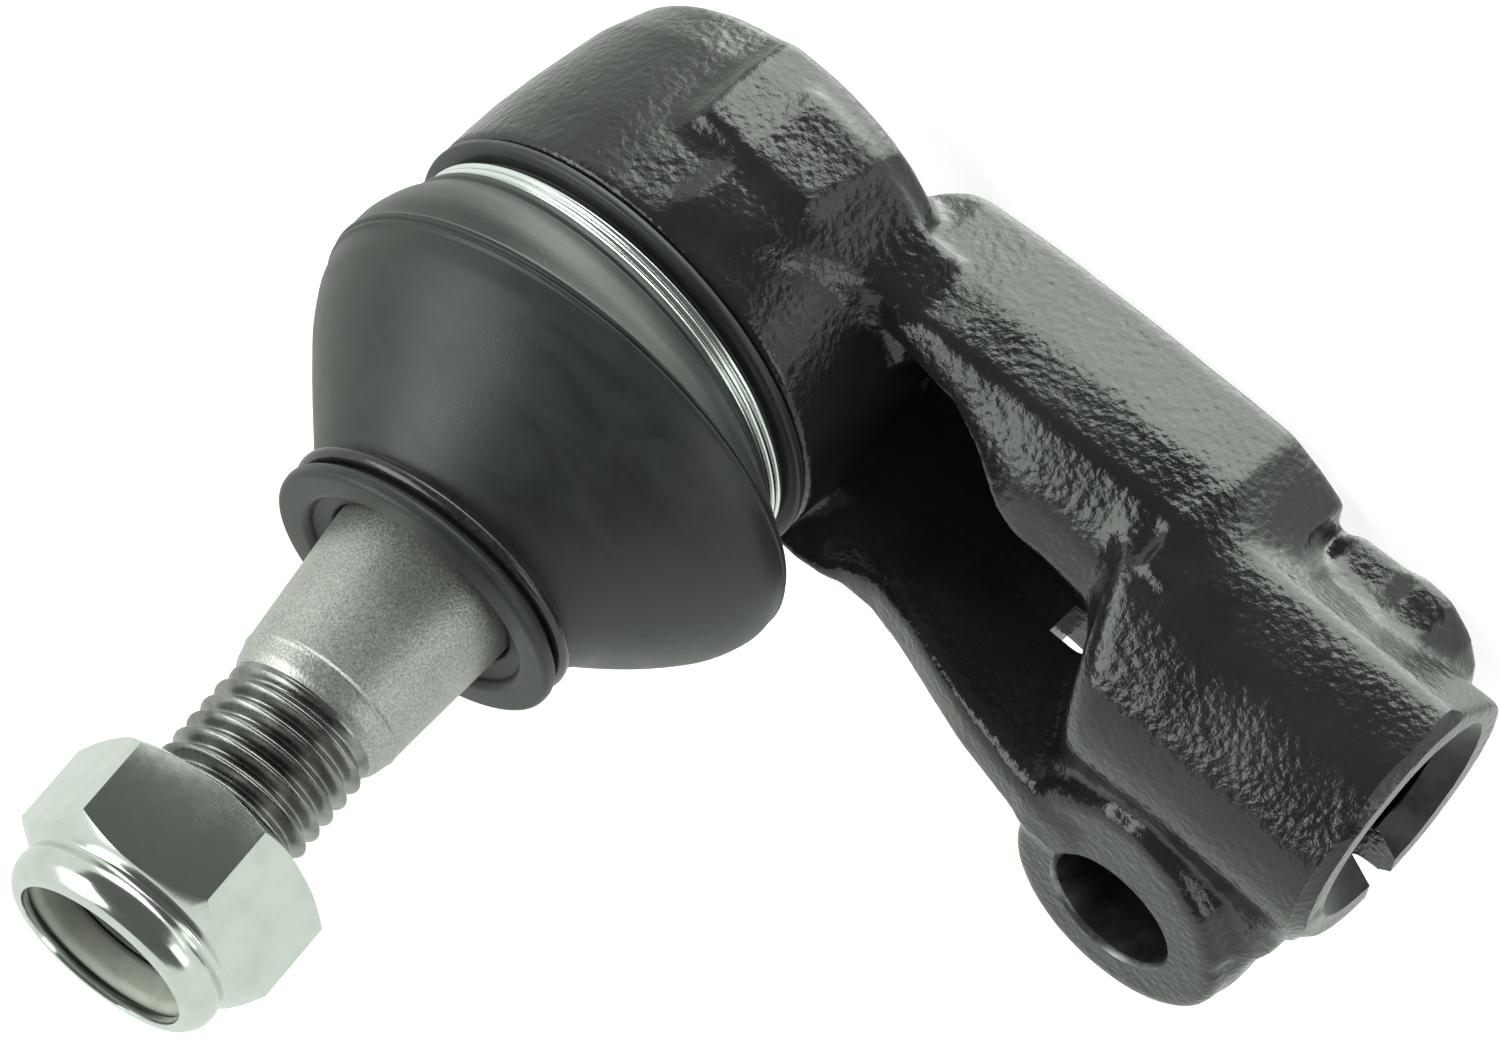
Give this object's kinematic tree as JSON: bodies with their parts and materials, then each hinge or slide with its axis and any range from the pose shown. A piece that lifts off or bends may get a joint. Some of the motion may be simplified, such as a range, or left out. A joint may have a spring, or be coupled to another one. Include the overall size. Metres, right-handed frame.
{
  "type": "tie rod end",
  "caption": "Steering tie rod end: a ball stud in a forged housing with a dust boot and lock nut, and a slotted socket with clamp ears for a pinch bolt.",
  "frame": {"origin": "centre of the closed base of the ball housing", "axes": "+Z along the axis of the ball housing towards the stud, which rests 6.4 degrees off it, +X along the socket towards its mouth, -Y towards the slit and the clamp ears"},
  "size_m": [0.0823, 0.0444, 0.0815],
  "materials": {
    "black_painted_forging": "gloss black paint over a coarse forged skin",
    "plate_steel": "phosphated sheet steel",
    "spring_steel": "oiled spring steel",
    "bearing_plastic": "natural acetal",
    "phosphated_steel": "satin grey phosphated steel",
    "boot_rubber": "satin black chloroprene rubber",
    "zinc_wire": "bright zinc plate",
    "black_wire": "gloss black coated wire",
    "zinc_nut": "bright clear zinc plate",
    "nylon": "off-white nylon"
  },
  "bodies": {
    "housing": {"forged_housing": "black_painted_forging", "closing_plate": "plate_steel", "preload_washer": "spring_steel"},
    "ball_seat": {"lower_race": "bearing_plastic", "upper_race": "bearing_plastic", "dust_boot": "boot_rubber", "boot_clamp_ring": "zinc_wire"},
    "boot_neck": {"boot_neck_ring": "black_wire"},
    "stud": {"ball_stud": "phosphated_steel"},
    "nut_carrier": {"nylon_insert": "nylon"},
    "nut": {"nut_body": "zinc_nut"}
  },
  "joints": [
    {"name": "swing_direction", "type": "hinge", "parent": "housing", "child": "ball_seat", "pos_m": [0, 0, 0.0132], "axis": [0, 0, 1], "continuous": true},
    {"name": "stud_swing", "type": "hinge", "parent": "ball_seat", "child": "boot_neck", "pos_m": [0, 0, 0.0132], "axis": [0.3665, 0.9304, 0], "range_deg": [-31.4, 18.6], "deforming": ["dust_boot"]},
    {"name": "stud_spin", "type": "hinge", "parent": "boot_neck", "child": "stud", "pos_m": [0, 0, 0.0132], "axis": [0.1037, -0.0409, 0.9938], "continuous": true},
    {"name": "nut_travel", "type": "slide", "parent": "stud", "child": "nut_carrier", "axis": [0.1037, -0.0409, 0.9938], "range_m": [-0.01, 0.006]},
    {"name": "nut_spin", "type": "hinge", "parent": "nut_carrier", "child": "nut", "pos_m": [0.00605, -0.00238, 0.07114], "axis": [0.1037, -0.0409, 0.9938], "range_deg": [-2401, 1441]}
  ],
  "couplings": [
    {"joint": "nut_spin", "follows": "nut_travel", "rad_per_m": 4188.8}
  ]
}
